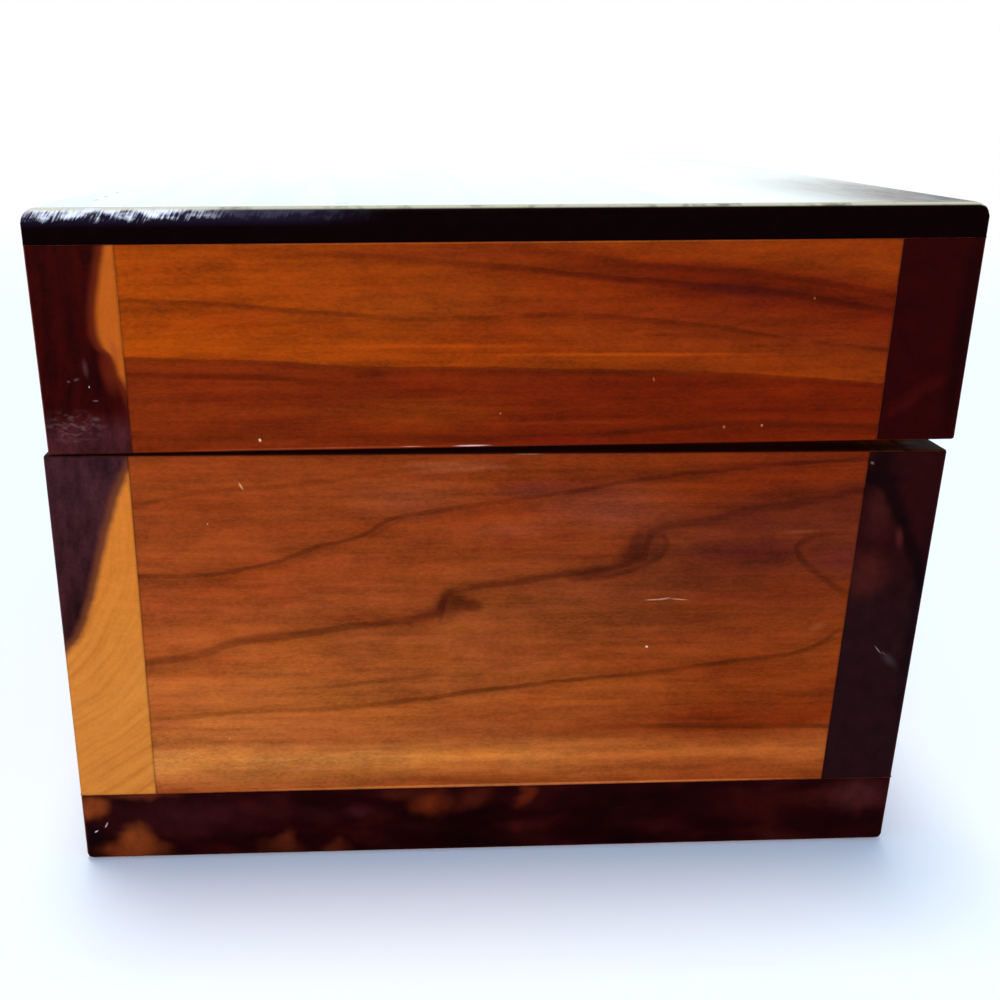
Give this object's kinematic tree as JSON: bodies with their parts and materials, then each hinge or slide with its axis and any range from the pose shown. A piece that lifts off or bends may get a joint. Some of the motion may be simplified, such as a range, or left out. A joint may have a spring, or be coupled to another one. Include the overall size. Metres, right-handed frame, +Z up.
{
  "type": "recipe card box",
  "caption": "Rectangular wooden box with a shallow lid on two rear hinges, sized to hold index cards on edge.",
  "frame": {"origin": "centre of the underside, on the surface that the box stands on", "axes": "+Z up, -Y the front, +Y the hinge side, +X the box's right side; X is the length of the front"},
  "size_m": [0.1588, 0.1437, 0.1102],
  "materials": {
    "side_cedar": "gloss varnish on red cedar",
    "front_cedar": "gloss varnish on red cedar",
    "top_cedar": "gloss varnish on red cedar",
    "base_cedar": "varnished edges, bare inside",
    "brass": "dull brass",
    "brad_steel": "bright wire",
    "putty": "wood filler under varnish"
  },
  "bodies": {
    "box_body": {"base_board": "base_cedar", "body_front_board": "front_cedar", "body_back_board": "front_cedar", "body_left_board": "side_cedar", "body_right_board": "side_cedar", "body_corner_brads": "brad_steel", "base_brads": "brad_steel", "body_nail_putty": "putty", "left_hinge_body_leaf": "brass", "left_hinge_pin": "brass", "left_hinge_body_screws": "brass", "right_hinge_body_leaf": "brass", "right_hinge_pin": "brass", "right_hinge_body_screws": "brass"},
    "lid": {"lid_top_board": "top_cedar", "lid_front_board": "front_cedar", "lid_back_board": "front_cedar", "lid_left_board": "side_cedar", "lid_right_board": "side_cedar", "lid_corner_brads": "brad_steel", "lid_top_brads": "brad_steel", "lid_nail_putty": "putty", "left_hinge_lid_leaf": "brass", "left_hinge_lid_screws": "brass", "right_hinge_lid_leaf": "brass", "right_hinge_lid_screws": "brass"}
  },
  "joints": [
    {"name": "lid_hinge", "type": "hinge", "parent": "box_body", "child": "lid", "pos_m": [0, 0.07235, 0.07347], "axis": [-1, 0, 0], "range_deg": [0, 186]}
  ]
}
